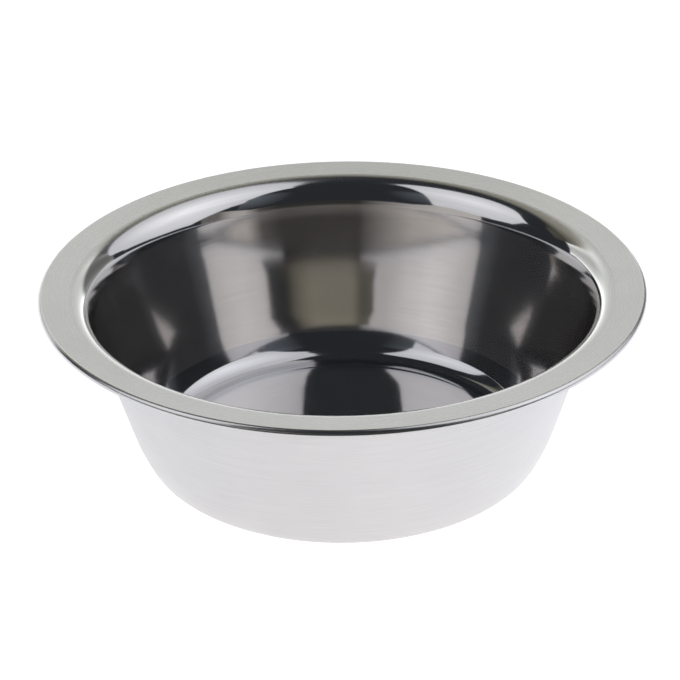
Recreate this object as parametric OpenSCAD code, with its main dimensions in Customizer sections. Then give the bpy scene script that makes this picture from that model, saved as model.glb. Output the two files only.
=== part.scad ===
// Round feeding bowl with a wide flange and a rolled edge, pressed from one steel sheet
// Lengths are in millimetres and angles in degrees
// The bowl stands on z = 0 and is round about the Z axis

/* [Overall] */
// Outer diameter over the rolled edge
rim_d = 130; // [90:1:200]
// Height from the standing ring to the top of the rolled edge
height = 40.5; // [25:0.5:60]
// Thickness of the steel sheet
sheet = 0.6; // [0.4:0.05:1]

/* [Rim] */
// Diameter of the hollow left inside the rolled edge
curl_bore = 0.4; // [0.3:0.05:1]
// Angle through which the edge is rolled under
curl_turn = 265; // [180:1:270]
// Width of the straight flange between the rolled edge and the shoulder
flange_w = 5.8; // [2:0.1:15]
// Angle at which the flange falls towards the mouth
flange_fall = 5.5; // [0:0.5:10]
// Radius of the rounded shoulder, on its upper side
shoulder_r = 4.9; // [2:0.1:8]
// Radius of the wider curve between shoulder and wall, on its upper side
ease_r = 16; // [9:0.5:25]
// Angle through which that curve turns
ease_turn = 12; // [5:1:30]

/* [Wall] */
// Angle of the straight lower wall from the vertical
wall_taper = 17; // [8:0.05:25]
// Radius of the slightly rounded upper wall, on its inside
wall_r = 70; // [40:5:400]
// Angle by which the wall is steeper at its top
wall_turn = 2.5; // [0.5:0.1:4]
// Radius of the belly below the wall, on its inside
belly_r = 42.6; // [20:0.2:80]
// Angle through which the belly turns inwards
belly_turn = 10.2; // [2:0.1:30]

/* [Base] */
// Radius of the corner between wall and base, on its inside
corner_r = 5; // [1.5:0.1:8]
// Width of the flat standing ring inside the corner
ring_w = 1; // [0.8:0.1:4]
// Height by which the floor is raised inside the standing ring
floor_rise = 0.2; // [0.1:0.05:1]
// Width of the sloping band between the standing ring and the floor
rise_w = 2.5; // [1.5:0.1:8]

/* [Hidden] */

// Facets round the axis
$fn = 360;

// Largest angle between two points of an arc
arc_step = 6;

// Fewest sides of an arc
least_sides = 4;

// Points closer than this count as one
same_point = 0.001;

// Slope of the wall at its top
top_taper = wall_taper - wall_turn;

// Directions square to the flange, to the wall's top and to the shoulder's lower end, on their upper sides
flange_up = 90 + flange_fall;
wall_up = 180 - top_taper;
ease_up = wall_up - ease_turn;

// Slope of the wall where the belly meets the corner
belly_end = wall_taper + belly_turn;

// Rolled edge: outside radius and centre
curl_r = curl_bore / 2 + sheet;
curl_c = [rim_d / 2 - curl_r, height - curl_r];

// Shoulder: its centre lies square below the inner end of the flange
flange_outer = polar(curl_c, curl_r, flange_up);
flange_inner = polar(flange_outer, flange_w, flange_up + 90);
shoulder_c = polar(flange_inner, -shoulder_r, flange_up);

// Wider curve below the shoulder, and the rounded upper wall below that
ease_c = polar(shoulder_c, shoulder_r - ease_r, ease_up);
wall_top = polar(ease_c, ease_r, wall_up);
wall_c = polar(wall_top, wall_r, wall_up);
wall_mid = polar(wall_c, wall_r, -wall_taper);

// Heights that follow from the base upwards
corner_z = sheet + corner_r;
belly_z = corner_z + (belly_r - corner_r) * sin(belly_end);
wall_low_z = belly_z - belly_r * sin(wall_taper);

// Belly and corner: their centres follow from the lower end of the straight wall
wall_low = [wall_mid[0] - (wall_mid[1] - wall_low_z) * tan(wall_taper), wall_low_z];
belly_c = [wall_low[0] - belly_r * cos(wall_taper), belly_z];
corner_c = [belly_c[0] + (belly_r - corner_r) * cos(belly_end), corner_z];

// Base: the sloping band is two equal arcs, up from the ring and over to the floor
ring_inner = corner_c[0] - ring_w;
floor_edge = ring_inner - rise_w;
band_r = (rise_w * rise_w + floor_rise * floor_rise) / (4 * floor_rise);
band_turn = 2 * atan(floor_rise / rise_w);
band_low_c = [ring_inner, sheet / 2 + band_r];
band_high_c = [floor_edge, floor_rise + sheet / 2 - band_r];

// Columns of the list of bends
CENTRE = 0;
UPPER_R = 1;
LOWER_R = 2;
START = 3;
END = 4;

// Bends of the sheet from the floor to the rolled edge; straight stretches join them
bends = [
    [band_high_c, band_r + sheet / 2, band_r - sheet / 2, 90, 90 - band_turn],
    [band_low_c, band_r - sheet / 2, band_r + sheet / 2, -90 - band_turn, -90],
    [corner_c, corner_r, corner_r + sheet, -90, -belly_end],
    [belly_c, belly_r, belly_r + sheet, -belly_end, -wall_taper],
    [wall_c, wall_r, wall_r + sheet, -wall_taper, -top_taper],
    [ease_c, ease_r, ease_r - sheet, wall_up, ease_up],
    [shoulder_c, shoulder_r, shoulder_r - sheet, ease_up, flange_up],
    [curl_c, curl_r, curl_r - sheet, flange_up, flange_up - curl_turn]
];

// Point at a distance and an angle from another point
function polar(from, distance, angle) = from + distance * [cos(angle), sin(angle)];

// Points along an arc
function arc(centre, radius, start, end) =
    let (sides = max(least_sides, ceil(abs(end - start) / arc_step)))
    [for (i = [0:sides]) polar(centre, radius, start + (end - start) * i / sides)];

// Points along one side of the sheet, from the floor to the rolled edge
function sheet_side(radius_column) =
    [for (b = bends) each arc(b[CENTRE], b[radius_column], b[START], b[END])];

// List of points in the other order
function reversed(points) = [for (i = [len(points) - 1:-1:0]) points[i]];

// List of points without those that repeat the one before
function distinct(points) =
    [for (i = [0:len(points) - 1])
        if (i == 0 || norm(points[i] - points[max(i - 1, 0)]) > same_point) points[i]];

// Half section of the sheet: out along its upper side and back along its lower side
module half_section() {
    upper = concat([[0, floor_rise + sheet]], sheet_side(UPPER_R));
    lower = concat([[0, floor_rise]], sheet_side(LOWER_R));
    polygon(distinct(concat(upper, reversed(lower))));
}

// The whole pressing
module bowl() {
    color("silver")
    rotate_extrude()
    half_section();
}

bowl();
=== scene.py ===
"""Looks of a round steel feeding bowl, pressed from one sheet: a satin flange with a rolled edge,
a polished shoulder, a brushed wall, a drawn corner and a spun floor. Lengths are in metres,
angles in degrees."""

import math

import bpy
from mathutils import Matrix, Vector


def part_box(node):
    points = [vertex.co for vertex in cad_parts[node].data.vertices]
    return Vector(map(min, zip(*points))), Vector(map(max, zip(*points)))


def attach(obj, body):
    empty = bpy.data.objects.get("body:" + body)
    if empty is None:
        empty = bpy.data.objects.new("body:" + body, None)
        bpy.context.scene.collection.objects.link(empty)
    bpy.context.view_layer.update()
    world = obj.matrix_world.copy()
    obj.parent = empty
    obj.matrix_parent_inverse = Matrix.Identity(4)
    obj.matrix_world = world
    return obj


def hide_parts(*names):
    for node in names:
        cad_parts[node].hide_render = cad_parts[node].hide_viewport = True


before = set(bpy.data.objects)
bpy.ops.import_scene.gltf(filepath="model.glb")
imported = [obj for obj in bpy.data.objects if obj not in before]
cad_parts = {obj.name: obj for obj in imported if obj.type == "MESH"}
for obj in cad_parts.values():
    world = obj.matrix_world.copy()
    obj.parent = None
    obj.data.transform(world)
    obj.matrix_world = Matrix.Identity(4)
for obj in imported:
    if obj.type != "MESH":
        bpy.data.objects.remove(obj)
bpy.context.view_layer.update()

MM = 0.001
MICRON = 0.000001

# Overall sizes, from the frame
bowl_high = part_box("bowl")[1]
rim_r = bowl_high.x
height = bowl_high.z

# Sizes of the pressing
sheet = 0.6 * MM
curl_bore = 0.4 * MM
curl_turn = 265
flange_w = 5.8 * MM
flange_fall = 5.5
shoulder_r = 4.9 * MM
ease_r = 16 * MM
ease_turn = 12
wall_taper = 17
wall_r = 70 * MM
wall_turn = 2.5
belly_r = 42.6 * MM
belly_turn = 10.2
corner_r = 5 * MM
ring_w = 1 * MM
floor_rise = 0.2 * MM
rise_w = 2.5 * MM

# Heights between which the wall is brushed; above it is polished, and below it is as drawn
brushed_top_z = 34.3 * MM
brushed_low_z = 5.9 * MM

# Fineness of the mesh
segments = 360
arc_step = 3
curl_step = 8
wall_step = 0.5
straight_step = 3 * MM

# Points nearer to the axis than this lie on it
on_axis_r = 1e-9

# Tints of the steel
NEUTRAL = (0.655, 0.655, 0.655)
COOL = (0.67, 0.675, 0.685)
DULL = (0.565, 0.565, 0.58)
WARM = (0.675, 0.655, 0.64)
PALE = (0.69, 0.685, 0.69)

# Finishes of the sheet, in the order of the material slots
LOOKS = {
    "spun_floor": dict(tint=COOL, gloss=(0.09, 0.15), anisotropy=0.3, line_depth=0.15 * MICRON),
    "polished": dict(tint=NEUTRAL, gloss=(0.05, 0.08), satin_rim=0.26),
    "drawn_corner": dict(tint=DULL, gloss=(0.06, 0.09)),
    "brushed_wall": dict(
        tint=WARM, gloss=(0.06, 0.11), anisotropy=0.6, line_depth=0.3 * MICRON, metallic=0.965),
    "satin_flange": dict(
        tint=NEUTRAL, gloss=(0.25, 0.285), anisotropy=0.3, line_depth=0.1 * MICRON, streaks=0.012),
    "rolled_edge": dict(tint=NEUTRAL, gloss=(0.18, 0.26), anisotropy=0.3, line_depth=0.5 * MICRON),
    "satin_outside": dict(tint=PALE, gloss=(0.28, 0.36), anisotropy=0.4, line_depth=0.5 * MICRON),
    "mill_base": dict(tint=PALE, gloss=(0.3, 0.4), anisotropy=0.3, line_depth=0.5 * MICRON),
}
FINISHES = list(LOOKS)

# Fine lines round the axis: changes a radian along them and a metre across them
line_along = 4
line_across = 14000
fine_detail = 2

# Coarse lines, as a share of the fine lines' changes across
coarse_share = 0.25
coarse_detail = 1

# Clouds in the finish: changes a metre, how far the tone goes up and down, and share in the roughness
cloud_scale = 60
cloud_detail = 2
cloud_tone = 0.02
cloud_share = 0.2

# Noise values between which the tone and the roughness change
coarse_range = (0.3, 0.7)
cloud_range = (0.35, 0.65)
mark_range = (0.45, 0.75)

# Turn of the sheen against the lines, where 1 is a full turn
sheen_turn = 0.25

# Distances from the axis between which the shoulder changes from polished to satin
polished_r = 55.3 * MM
satin_r = 58.4 * MM

# Camera, as the photograph was taken: above the front edge, a little turned. Its sensor is in millimetres
camera_elevation = 26.31
camera_distance = 0.572
camera_roll = -0.8
image_px = 680
focal_px = 2669.2
aim_right_px = 2.2
aim_down_px = 57.7
sensor_w = 36

# Outlines of the softboxes as the polished steel shows them: azimuth and elevation from the bowl
right_front = [(47, 25), (44, 33), (42, 45), (39, 54), (33, 64), (38, 69)]
right_top = [(52, 79), (127, 82), (146, 77), (160, 65), (159, 58)]
right_foot = [(146, 40), (128, 18), (115, 8), (90, 8), (74, 9), (57, 20)]
left_front = [(-44, 16), (-42, 30), (-45, 52), (-48, 63), (-54, 73)]
left_top = [(-66, 76.5), (-85, 76), (-95, 74), (-107, 67.5), (-117, 58.5), (-113, 52)]
left_foot = [(-99, 35), (-97, 28), (-96, 20), (-86, 12), (-75, 11), (-64, 12), (-54, 15)]
right_wing = [(50, 14), (24, 16), (22, 48), (44, 54)]
left_wing = [(-44, 17), (-22, 18), (-20, 48), (-44, 54)]

# Distances of the softboxes from the bowl, and their colours
softbox_distance = 0.9
wing_distance = 1.15
softbox_colour = (0.985, 0.985, 1.03)
wing_colour = (0.88, 0.98, 1.12)

# Floor paper: its reach and its white, and how bright it is to the camera and in the steel
floor_reach = 4
floor_white = (0.75, 0.75, 0.75)
camera_glow = 0.88
steel_glow = 0.79

# The floor's glow is warm in the middle and cool aside. In the steel it is dark in front of the bowl
warm_x = 0.02
cool_x = 0.1
warm_white = (1, 0.98, 0.975)
cool_white = (0.97, 0.985, 1.03)
light_y = -0.092
dark_y = -0.112
dark_colour = (0.04, 0.04, 0.043)

# Backdrop, the panel above it, and the low card in front with its outline as X and Z
backdrop_y = 1.05
backdrop_half_w = 1.6
backdrop_top = 0.79
panel_left = -2.6
panel_right = 0.6
panel_top = 1.75
card_y = -0.9
card_top = 0.26
card_outline = [(-2.2, 0), (2.2, 0), (2.2, 0.8), (0.85, card_top), (-0.6, card_top), (-2.2, 0.75)]
card_colour = (1, 0.945, 0.91)

# Dim room round the stage
room_colour = (0.028, 0.031, 0.036)


def polar(start, distance, angle):
    """Point of the half section at a distance and an angle from another."""
    turn = math.radians(angle)
    return start + distance * Vector((math.cos(turn), math.sin(turn)))


# Half section: x is the distance from the axis and y the height
top_taper = wall_taper - wall_turn
flange_up = 90 + flange_fall
wall_up = 180 - top_taper
ease_up = wall_up - ease_turn
belly_end = wall_taper + belly_turn

curl_r = curl_bore / 2 + sheet
curl_c = Vector((rim_r - curl_r, height - curl_r))
flange_outer = polar(curl_c, curl_r, flange_up)
flange_inner = polar(flange_outer, flange_w, flange_up + 90)
shoulder_c = polar(flange_inner, -shoulder_r, flange_up)
ease_c = polar(shoulder_c, shoulder_r - ease_r, ease_up)
wall_top = polar(ease_c, ease_r, wall_up)
wall_c = polar(wall_top, wall_r, wall_up)
wall_mid = polar(wall_c, wall_r, -wall_taper)

corner_z = sheet + corner_r
belly_z = corner_z + (belly_r - corner_r) * math.sin(math.radians(belly_end))
wall_low_z = belly_z - belly_r * math.sin(math.radians(wall_taper))
wall_low_x = wall_mid.x - (wall_mid.y - wall_low_z) * math.tan(math.radians(wall_taper))
belly_c = Vector((wall_low_x - belly_r * math.cos(math.radians(wall_taper)), belly_z))
corner_c = polar(belly_c, belly_r - corner_r, -belly_end)

ring_inner = corner_c.x - ring_w
floor_edge = ring_inner - rise_w
band_r = (rise_w**2 + floor_rise**2) / (4 * floor_rise)
band_turn = 2 * math.degrees(math.atan(floor_rise / rise_w))
band_low_c = Vector((ring_inner, sheet / 2 + band_r))
band_high_c = Vector((floor_edge, floor_rise + sheet / 2 - band_r))

# Angles at which the brushing starts on the belly and ends above the wall
brushed_low_angle = math.degrees(math.asin((brushed_low_z - belly_c.y) / belly_r))
brushed_top_angle = 180 - math.degrees(math.asin((brushed_top_z - ease_c.y) / ease_r))


def arc(centre, radius, start, end, facing, finish, step=arc_step):
    """Stretch of the section along an arc: points, outward directions and a finish.
    Facing is 1 where the metal lies on the centre's side, and -1 where it lies beyond."""
    sides = max(1, math.ceil(abs(end - start) / step))
    angles = [start + (end - start) * i / sides for i in range(sides + 1)]
    points = [polar(centre, radius, angle) for angle in angles]
    normals = [facing * polar(Vector((0, 0)), 1, angle) for angle in angles]
    return points, normals, finish


def straight(start, end, normal_angle, finish):
    """Stretch of the section along a line."""
    steps = max(1, math.ceil((end - start).length / straight_step))
    points = [start.lerp(end, i / steps) for i in range(steps + 1)]
    normals = [polar(Vector((0, 0)), 1, normal_angle)] * (steps + 1)
    return points, normals, finish


def upper_side():
    """Stretches of the section's upper side, from the axis to the end of the rolled edge."""
    floor_top = Vector((0, floor_rise + sheet))
    wall_low = polar(belly_c, belly_r, -wall_taper)
    return [
        straight(floor_top, polar(band_high_c, band_r + sheet / 2, 90), 90, "spun_floor"),
        arc(band_high_c, band_r + sheet / 2, 90, 90 - band_turn, 1, "spun_floor"),
        arc(band_low_c, band_r - sheet / 2, -90 - band_turn, -90, -1, "spun_floor"),
        straight(Vector((ring_inner, sheet)), Vector((corner_c.x, sheet)), 90, "drawn_corner"),
        arc(corner_c, corner_r, -90, -belly_end, -1, "drawn_corner"),
        arc(belly_c, belly_r, -belly_end, brushed_low_angle, -1, "drawn_corner"),
        arc(belly_c, belly_r, brushed_low_angle, -wall_taper, -1, "brushed_wall"),
        straight(wall_low, wall_mid, 180 - wall_taper, "brushed_wall"),
        arc(wall_c, wall_r, -wall_taper, -top_taper, -1, "brushed_wall", wall_step),
        arc(ease_c, ease_r, wall_up, brushed_top_angle, 1, "brushed_wall"),
        arc(ease_c, ease_r, brushed_top_angle, ease_up, 1, "polished"),
        arc(shoulder_c, shoulder_r, ease_up, flange_up, 1, "polished"),
        straight(flange_inner, flange_outer, flange_up, "satin_flange"),
        arc(curl_c, curl_r, flange_up, flange_up - curl_turn, 1, "rolled_edge", curl_step),
    ]


def lower_side():
    """Stretches of the section's lower side, from the end of the rolled edge to the axis."""
    curl_end = flange_up - curl_turn
    curl_in = curl_r - sheet
    shoulder_in = shoulder_r - sheet
    ease_in = ease_r - sheet
    wall_out = wall_r + sheet
    belly_out = belly_r + sheet
    corner_out = corner_r + sheet
    tip_c = polar(curl_c, curl_r - sheet / 2, curl_end)
    flange_under = polar(curl_c, curl_in, flange_up)
    shoulder_under = polar(shoulder_c, shoulder_in, flange_up)
    wall_out_mid = polar(wall_c, wall_out, -wall_taper)
    wall_out_low = polar(belly_c, belly_out, -wall_taper)
    return [
        arc(tip_c, sheet / 2, curl_end, curl_end - 180, 1, "rolled_edge", 2 * curl_step),
        arc(curl_c, curl_in, curl_end, flange_up, -1, "rolled_edge", curl_step),
        straight(flange_under, shoulder_under, flange_up + 180, "satin_outside"),
        arc(shoulder_c, shoulder_in, flange_up, ease_up, -1, "satin_outside"),
        arc(ease_c, ease_in, ease_up, wall_up, -1, "satin_outside"),
        arc(wall_c, wall_out, -top_taper, -wall_taper, 1, "satin_outside", wall_step),
        straight(wall_out_mid, wall_out_low, -wall_taper, "satin_outside"),
        arc(belly_c, belly_out, -wall_taper, -belly_end, 1, "satin_outside"),
        arc(corner_c, corner_out, -belly_end, -90, 1, "satin_outside"),
        straight(Vector((corner_c.x, 0)), Vector((ring_inner, 0)), -90, "mill_base"),
        arc(band_low_c, band_r + sheet / 2, -90, -90 - band_turn, 1, "mill_base"),
        arc(band_high_c, band_r - sheet / 2, 90 - band_turn, 90, -1, "mill_base"),
        straight(Vector((floor_edge, floor_rise)), Vector((0, floor_rise)), -90, "mill_base"),
    ]


def joined_section(stretches):
    """Points of the section with their outward directions, and the slot of each step between them."""
    section = []
    step_slots = []
    for points, normals, finish in stretches:
        if not section:
            section.append((points[0], normals[0]))
        for point, normal in zip(points[1:], normals[1:]):
            section.append((point, normal))
            step_slots.append(FINISHES.index(finish))
    return section, step_slots


def turned(flat, turn):
    """Point or direction of the half section, turned about the Z axis."""
    return (flat.x * math.cos(turn), flat.x * math.sin(turn), flat.y)


def ring_faces(inner, outer):
    """Faces between two rows of vertices. A row of one vertex lies on the axis."""
    faces = []
    for i in range(segments):
        following = (i + 1) % segments
        if len(inner) == 1:
            faces.append((inner[0], outer[i], outer[following]))
        elif len(outer) == 1:
            faces.append((inner[i], outer[0], inner[following]))
        else:
            faces.append((inner[i], outer[i], outer[following], inner[following]))
    return faces


def lathe(name, stretches):
    """Mesh turned about the Z axis from the stretches, with exact normals and one slot per finish."""
    section, step_slots = joined_section(stretches)
    vertices = []
    vertex_normals = []
    rows = []
    for point, normal in section:
        count = 1 if point.x < on_axis_r else segments
        rows.append(range(len(vertices), len(vertices) + count))
        for i in range(count):
            turn = 2 * math.pi * i / segments
            vertices.append(turned(point, turn))
            vertex_normals.append(turned(normal, turn))
    faces = []
    face_slots = []
    for inner, outer, slot in zip(rows, rows[1:], step_slots):
        ring = ring_faces(inner, outer)
        faces += ring
        face_slots += [slot] * len(ring)
    mesh = bpy.data.meshes.new(name)
    mesh.from_pydata(vertices, [], faces)
    mesh.polygons.foreach_set("material_index", face_slots)
    mesh.polygons.foreach_set("use_smooth", [True] * len(faces))
    mesh.validate()
    mesh.normals_split_custom_set_from_vertices(vertex_normals)
    made = bpy.data.objects.new(name, mesh)
    bpy.context.scene.collection.objects.link(made)
    return made


def add(tree, kind, **settings):
    """New node with its settings."""
    node = tree.nodes.new(kind)
    for key, value in settings.items():
        setattr(node, key, value)
    return node


def math_node(tree, operation, first, second=None):
    """Math node; each operand is an output socket or a number."""
    node = add(tree, "ShaderNodeMath", operation=operation)
    for socket, value in zip(node.inputs, (first, second)):
        if isinstance(value, (int, float)):
            socket.default_value = value
        elif value is not None:
            tree.links.new(value, socket)
    return node.outputs[0]


def spread(tree, value, start, end, first, last):
    """Value that goes from first to last while another goes from start to end."""
    node = add(tree, "ShaderNodeMapRange")
    node.inputs["From Min"].default_value = start
    node.inputs["From Max"].default_value = end
    node.inputs["To Min"].default_value = first
    node.inputs["To Max"].default_value = last
    tree.links.new(value, node.inputs["Value"])
    return node.outputs[0]


def place(tree):
    """Place of the shaded point, in the object's own frame."""
    return add(tree, "ShaderNodeTexCoord").outputs["Object"]


def coordinate(tree, axis):
    """X, Y or Z of the shaded point."""
    split = add(tree, "ShaderNodeSeparateXYZ")
    tree.links.new(place(tree), split.inputs[0])
    return split.outputs[axis]


def way_from_axis(tree, operation):
    """Vector node that works on the level way from the Z axis to the shaded point."""
    level_way = add(tree, "ShaderNodeVectorMath", operation="MULTIPLY")
    level_way.inputs[1].default_value = (1, 1, 0)
    tree.links.new(place(tree), level_way.inputs[0])
    node = add(tree, "ShaderNodeVectorMath", operation=operation)
    tree.links.new(level_way.outputs[0], node.inputs[0])
    return node


def distance_from_axis(tree):
    """Distance of the shaded point from the Z axis."""
    return way_from_axis(tree, "LENGTH").outputs["Value"]


def direction_from_axis(tree):
    """Unit vector from the Z axis towards the shaded point."""
    return way_from_axis(tree, "NORMALIZE").outputs["Vector"]


def noise(tree, vector, scale, detail):
    """Noise output between 0 and 1."""
    node = add(tree, "ShaderNodeTexNoise")
    node.inputs["Scale"].default_value = scale
    node.inputs["Detail"].default_value = detail
    tree.links.new(vector, node.inputs["Vector"])
    return node.outputs["Fac"]


def lines_round_axis(tree, across, detail):
    """Noise drawn out round the axis; across is its changes a metre across the lines."""
    scaled = add(tree, "ShaderNodeVectorMath", operation="SCALE")
    scaled.inputs["Scale"].default_value = line_along
    tree.links.new(direction_from_axis(tree), scaled.inputs[0])
    meridian = math_node(tree, "ADD", distance_from_axis(tree), coordinate(tree, "Z"))
    lift = add(tree, "ShaderNodeCombineXYZ")
    tree.links.new(math_node(tree, "MULTIPLY", meridian, across), lift.inputs["Z"])
    joined = add(tree, "ShaderNodeVectorMath", operation="ADD")
    tree.links.new(scaled.outputs[0], joined.inputs[0])
    tree.links.new(lift.outputs[0], joined.inputs[1])
    return noise(tree, joined.outputs[0], scale=1, detail=detail)


def steel(name, tint, gloss, anisotropy=0, line_depth=0, metallic=1, satin_rim=0, streaks=0.03):
    """Steel with fine lines round the axis. They change its tone, its relief and its roughness,
    which runs from gloss[0] between the lines to gloss[1] on them. Satin_rim is how much rougher
    the shoulder gets towards the flange, and streaks is how far the tone goes up and down."""
    material = bpy.data.materials.new(name)
    material.use_nodes = True
    tree = material.node_tree
    shader = tree.nodes["Principled BSDF"]
    shader.inputs["Metallic"].default_value = metallic
    shader.inputs["Anisotropic"].default_value = anisotropy
    shader.inputs["Anisotropic Rotation"].default_value = sheen_turn

    fine = lines_round_axis(tree, line_across, fine_detail)
    coarse = lines_round_axis(tree, line_across * coarse_share, coarse_detail)
    clouds = noise(tree, place(tree), cloud_scale, cloud_detail)

    shade = math_node(
        tree, "MULTIPLY",
        spread(tree, coarse, *coarse_range, 1 - streaks, 1 + streaks),
        spread(tree, clouds, *cloud_range, 1 - cloud_tone, 1 + cloud_tone))
    tone = add(tree, "ShaderNodeVectorMath", operation="SCALE")
    tone.inputs[0].default_value = tint
    tree.links.new(shade, tone.inputs["Scale"])
    tree.links.new(tone.outputs[0], shader.inputs["Base Color"])

    marked = math_node(tree, "ADD", fine, math_node(tree, "MULTIPLY", clouds, cloud_share))
    rough = spread(tree, marked, *mark_range, *gloss)
    if satin_rim:
        rim = spread(tree, distance_from_axis(tree), polished_r, satin_r, 0, satin_rim)
        rough = math_node(tree, "ADD", rough, rim)
    tree.links.new(rough, shader.inputs["Roughness"])

    bump = add(tree, "ShaderNodeBump")
    bump.inputs["Strength"].default_value = 1
    bump.inputs["Distance"].default_value = line_depth
    tree.links.new(coarse, bump.inputs["Height"])
    tree.links.new(bump.outputs[0], shader.inputs["Normal"])

    tangent = add(tree, "ShaderNodeTangent", direction_type="RADIAL", axis="Z")
    tree.links.new(tangent.outputs[0], shader.inputs["Tangent"])
    return material


def make_bowl():
    """The whole pressing, in place of the CAD node."""
    bowl = lathe("bowl_shell", upper_side() + lower_side())
    for finish, look in LOOKS.items():
        bowl.data.materials.append(steel("steel_" + finish, **look))
    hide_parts("bowl")
    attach(bowl, "root")


def make_camera():
    """Camera aimed a little beside the middle of the rim, so that no shift is needed."""
    rise = math.radians(camera_elevation)
    roll = math.radians(camera_roll)
    target = Vector((0, 0, height))
    right = Vector((1, 0, 0))
    up = Vector((0, math.sin(rise), math.cos(rise)))
    forward = Vector((0, math.cos(rise), -math.sin(rise)))
    turned_right = math.cos(roll) * right + math.sin(roll) * up
    turned_up = -math.sin(roll) * right + math.cos(roll) * up
    aim = forward - turned_right * (aim_right_px / focal_px) - turned_up * (aim_down_px / focal_px)
    aim.normalize()
    side = (turned_right - turned_right.dot(aim) * aim).normalized()
    top = side.cross(aim)
    data = bpy.data.cameras.new("camera")
    data.sensor_width = sensor_w
    data.lens = focal_px * sensor_w / image_px
    made = bpy.data.objects.new("camera", data)
    made.matrix_world = Matrix((side, top, -aim)).transposed().to_4x4()
    made.location = target - forward * camera_distance
    bpy.context.scene.collection.objects.link(made)
    bpy.context.scene.camera = made


def stage_sheet(name, vertices, material):
    """Flat sheet with one face, set up round the bowl."""
    mesh = bpy.data.meshes.new(name)
    mesh.from_pydata(vertices, [], [tuple(range(len(vertices)))])
    mesh.materials.append(material)
    made = bpy.data.objects.new(name, mesh)
    bpy.context.scene.collection.objects.link(made)


def bare_material(name):
    """Material with an empty node tree."""
    material = bpy.data.materials.new(name)
    material.use_nodes = True
    material.node_tree.nodes.clear()
    return material


def show(tree, shader):
    """Makes a shader the surface of its material."""
    out = add(tree, "ShaderNodeOutputMaterial")
    tree.links.new(shader.outputs[0], out.inputs["Surface"])


def both(tree, first, second):
    """Two shaders added up."""
    total = add(tree, "ShaderNodeAddShader")
    tree.links.new(first.outputs[0], total.inputs[0])
    tree.links.new(second.outputs[0], total.inputs[1])
    return total


def either(tree, share, first, second):
    """The first shader where the share is nought, and the second where it is one."""
    chosen = add(tree, "ShaderNodeMixShader")
    tree.links.new(share, chosen.inputs[0])
    tree.links.new(first.outputs[0], chosen.inputs[1])
    tree.links.new(second.outputs[0], chosen.inputs[2])
    return chosen


def seen_in_steel(tree):
    """One for a ray that comes from a shiny or clear surface, else nought."""
    path = add(tree, "ShaderNodeLightPath")
    return math_node(tree, "MAXIMUM", path.outputs["Is Glossy Ray"], path.outputs["Is Transmission Ray"])


def seen_by_camera(tree):
    """One for a ray straight from the camera, else nought."""
    return add(tree, "ShaderNodeLightPath").outputs["Is Camera Ray"]


def ramp_colour(tree, value, stops):
    """Colour that follows a value from 0 to 1 through stops of (position, colour)."""
    node = add(tree, "ShaderNodeValToRGB")
    elements = node.color_ramp.elements
    for element, (position, colour) in zip(elements, (stops[0], stops[-1])):
        element.position = position
        element.color = (*colour, 1)
    for position, colour in stops[1:-1]:
        elements.new(position).color = (*colour, 1)
    tree.links.new(value, node.inputs[0])
    return node.outputs[0]


def direction(azimuth, elevation):
    """Unit vector from the bowl: azimuth 0 is towards the camera and 90 to its right."""
    turn = math.radians(azimuth)
    rise = math.radians(elevation)
    return Vector((math.sin(turn) * math.cos(rise), -math.cos(turn) * math.cos(rise), math.sin(rise)))


def glow_material(name, colour, middle, levels, reach):
    """Material that gives off light, brightest round its middle, and that is white to the camera."""
    material = bare_material(name)
    tree = material.node_tree
    away = add(tree, "ShaderNodeVectorMath", operation="DISTANCE")
    away.inputs[1].default_value = middle
    tree.links.new(place(tree), away.inputs[0])
    level = spread(tree, away.outputs["Value"], 0, reach, *levels)
    light = add(tree, "ShaderNodeEmission")
    light.inputs["Color"].default_value = (*colour, 1)
    tree.links.new(math_node(tree, "MAXIMUM", level, seen_by_camera(tree)), light.inputs["Strength"])
    show(tree, light)
    return material


def softbox(name, outline, distance, colour, facing, levels, reach):
    """Flat diffuser; its outline is a list of directions (azimuth, elevation) from the bowl.
    It fades from the first level, where it faces the bowl, to the second one over the reach."""
    normal = direction(*facing)
    rays = [direction(azimuth, elevation) for azimuth, elevation in outline]
    vertices = [ray * (distance / ray.dot(normal)) for ray in rays]
    stage_sheet(name, vertices, glow_material("stage_" + name, colour, normal * distance, levels, reach))


def make_softboxes():
    """Softboxes on both sides, each with a dim one in front of it."""
    softbox(
        "right_softbox", right_front + right_top + right_foot, softbox_distance, softbox_colour,
        facing=(88, 42), levels=(1.3, 0.8), reach=0.62)
    softbox(
        "left_softbox", left_front + left_top + left_foot, softbox_distance, softbox_colour,
        facing=(-74, 42), levels=(1.12, 0.8), reach=0.5)
    softbox(
        "right_wing", right_wing, wing_distance, wing_colour,
        facing=(47, 31), levels=(0.19, 0.033), reach=0.42)
    softbox(
        "left_wing", left_wing, wing_distance, wing_colour,
        facing=(-43, 31), levels=(0.14, 0.033), reach=0.36)


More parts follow.
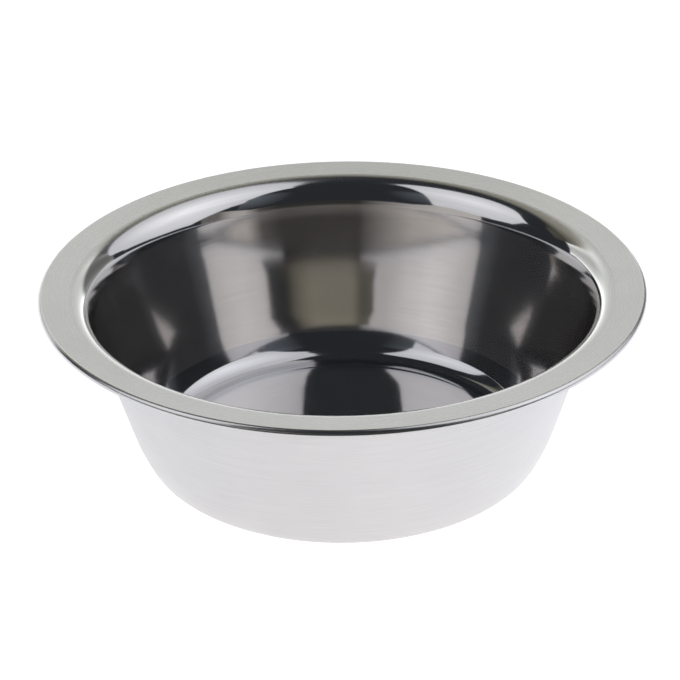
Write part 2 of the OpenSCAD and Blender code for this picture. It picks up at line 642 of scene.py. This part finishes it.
def floor_material():
    """White paper that takes shadows. In the steel it shows dark in front of the bowl."""
    material = bare_material("stage_paper")
    tree = material.node_tree
    paper = add(tree, "ShaderNodeBsdfDiffuse")
    paper.inputs["Color"].default_value = (*floor_white, 1)

    light = add(tree, "ShaderNodeEmission")
    aside = spread(tree, math_node(tree, "ABSOLUTE", coordinate(tree, "X")), warm_x, cool_x, 0, 1)
    tree.links.new(ramp_colour(tree, aside, [(0, warm_white), (1, cool_white)]), light.inputs["Color"])
    for_camera = math_node(tree, "MULTIPLY", seen_by_camera(tree), camera_glow)
    for_steel = math_node(tree, "MULTIPLY", seen_in_steel(tree), steel_glow)
    tree.links.new(math_node(tree, "ADD", for_camera, for_steel), light.inputs["Strength"])

    dark = add(tree, "ShaderNodeEmission")
    dark.inputs["Color"].default_value = (*dark_colour, 1)
    in_front = spread(tree, coordinate(tree, "Y"), dark_y, light_y, 1, 0)
    dark_share = math_node(tree, "MULTIPLY", in_front, seen_in_steel(tree))
    show(tree, either(tree, dark_share, both(tree, paper, light), dark))
    return material


def make_floor():
    """Wide floor under the bowl."""
    far = floor_reach
    corners = [(-far, -far, 0), (far, -far, 0), (far, far, 0), (-far, far, 0)]
    stage_sheet("floor", corners, floor_material())


def shown_material(name, colour, level):
    """Material that is white to the camera and shows a colour of its own in the steel.
    Level makes its brightness in a node tree, and colour is a colour or makes one there."""
    material = bare_material(name)
    tree = material.node_tree
    in_steel = add(tree, "ShaderNodeEmission")
    if callable(colour):
        tree.links.new(colour(tree), in_steel.inputs["Color"])
    else:
        in_steel.inputs["Color"].default_value = (*colour, 1)
    strength = math_node(tree, "MULTIPLY", level(tree), seen_in_steel(tree))
    tree.links.new(strength, in_steel.inputs["Strength"])
    white = add(tree, "ShaderNodeEmission")
    tree.links.new(seen_by_camera(tree), white.inputs["Strength"])
    show(tree, both(tree, in_steel, white))
    return material


def backdrop_colour(tree):
    """Backdrop: bright near the floor and at its top."""
    stops = [
        (0, (1.7, 1.7, 1.68)),
        (0.16, (1.55, 1.55, 1.53)),
        (0.34, (0.89, 0.90, 0.875)),
        (0.6, (0.69, 0.70, 0.675)),
        (0.8, (0.77, 0.78, 0.75)),
        (1, (1.5, 1.51, 1.47)),
    ]
    return ramp_colour(tree, spread(tree, coordinate(tree, "Z"), 0, backdrop_top, 0, 1), stops)


def backdrop_level(tree):
    """Backdrop: brighter a little off its middle, dimmer at its left end and dark at its right end."""
    x = coordinate(tree, "X")
    aside = spread(tree, math_node(tree, "ABSOLUTE", x), start=0.12, end=0.35, first=1, last=1.2)
    left_end = spread(tree, x, start=-0.65, end=-0.42, first=0.72, last=1)
    right_end = spread(tree, x, start=0.4, end=0.5, first=1, last=0.2)
    return math_node(tree, "MULTIPLY", aside, math_node(tree, "MULTIPLY", left_end, right_end))


def panel_colour(tree):
    """Panel above the backdrop: olive, brightest at half its height."""
    stops = [
        (0, (0.27, 0.26, 0.215)),
        (0.15, (0.31, 0.30, 0.25)),
        (0.5, (0.39, 0.375, 0.31)),
        (0.8, (0.32, 0.31, 0.26)),
        (1, (0.08, 0.08, 0.07)),
    ]
    return ramp_colour(tree, spread(tree, coordinate(tree, "Z"), backdrop_top, panel_top, 0, 1), stops)


def panel_level(tree):
    """Panel above the backdrop: dim at both ends."""
    x = coordinate(tree, "X")
    left_end = spread(tree, x, start=-1.5, end=-0.6, first=0.25, last=1)
    right_end = spread(tree, x, start=0.18, end=0.38, first=1, last=0.4)
    return math_node(tree, "MULTIPLY", left_end, right_end)


def card_level(tree):
    """Low card in front: dark in its middle, bright towards its ends and a little lighter at its foot."""
    x = coordinate(tree, "X")
    left_part = spread(tree, x, start=-0.6, end=-0.13, first=0.46, last=0.04)
    left_end = spread(tree, x, start=-1.05, end=-0.6, first=0.13, last=0)
    right_part = spread(tree, x, start=0.5, end=0.72, first=0, last=0.05)
    right_rise = spread(tree, x, start=0.72, end=0.93, first=0, last=0.4)
    right_fall = spread(tree, x, start=1.15, end=1.5, first=1, last=0.2)
    right_end = math_node(tree, "MULTIPLY", right_rise, right_fall)
    foot = spread(tree, coordinate(tree, "Z"), start=0.125, end=0.165, first=0.08, last=0)
    left = math_node(tree, "ADD", left_part, left_end)
    right = math_node(tree, "ADD", right_part, right_end)
    return math_node(tree, "ADD", math_node(tree, "ADD", left, right), foot)


def upright(y, left, right, low, high):
    """Corners of an upright sheet across the view."""
    return [(left, y, low), (right, y, low), (right, y, high), (left, y, high)]


def make_backdrop():
    """White backdrop behind the bowl with a dim panel above it, and a low card in front."""
    backdrop = upright(backdrop_y, -backdrop_half_w, backdrop_half_w, 0, backdrop_top)
    stage_sheet("backdrop", backdrop, shown_material("stage_backdrop", backdrop_colour, backdrop_level))
    panel = upright(backdrop_y, panel_left, panel_right, backdrop_top, panel_top)
    stage_sheet("panel", panel, shown_material("stage_panel", panel_colour, panel_level))
    card = [(x, card_y, z) for x, z in card_outline]
    stage_sheet("card", card, shown_material("stage_card", card_colour, card_level))


def make_world():
    """Dim room that is white to the camera."""
    world = bpy.data.worlds.new("room")
    world.use_nodes = True
    tree = world.node_tree
    dim = tree.nodes["Background"]
    dim.inputs["Color"].default_value = (*room_colour, 1)
    white = add(tree, "ShaderNodeBackground")
    white.inputs["Color"].default_value = (1, 1, 1, 1)
    chosen = either(tree, seen_by_camera(tree), dim, white)
    tree.links.new(chosen.outputs[0], tree.nodes["World Output"].inputs["Surface"])
    bpy.context.scene.world = world


make_bowl()
make_camera()
make_softboxes()
make_floor()
make_backdrop()
make_world()

bpy.context.scene.view_settings.view_transform = "Standard"
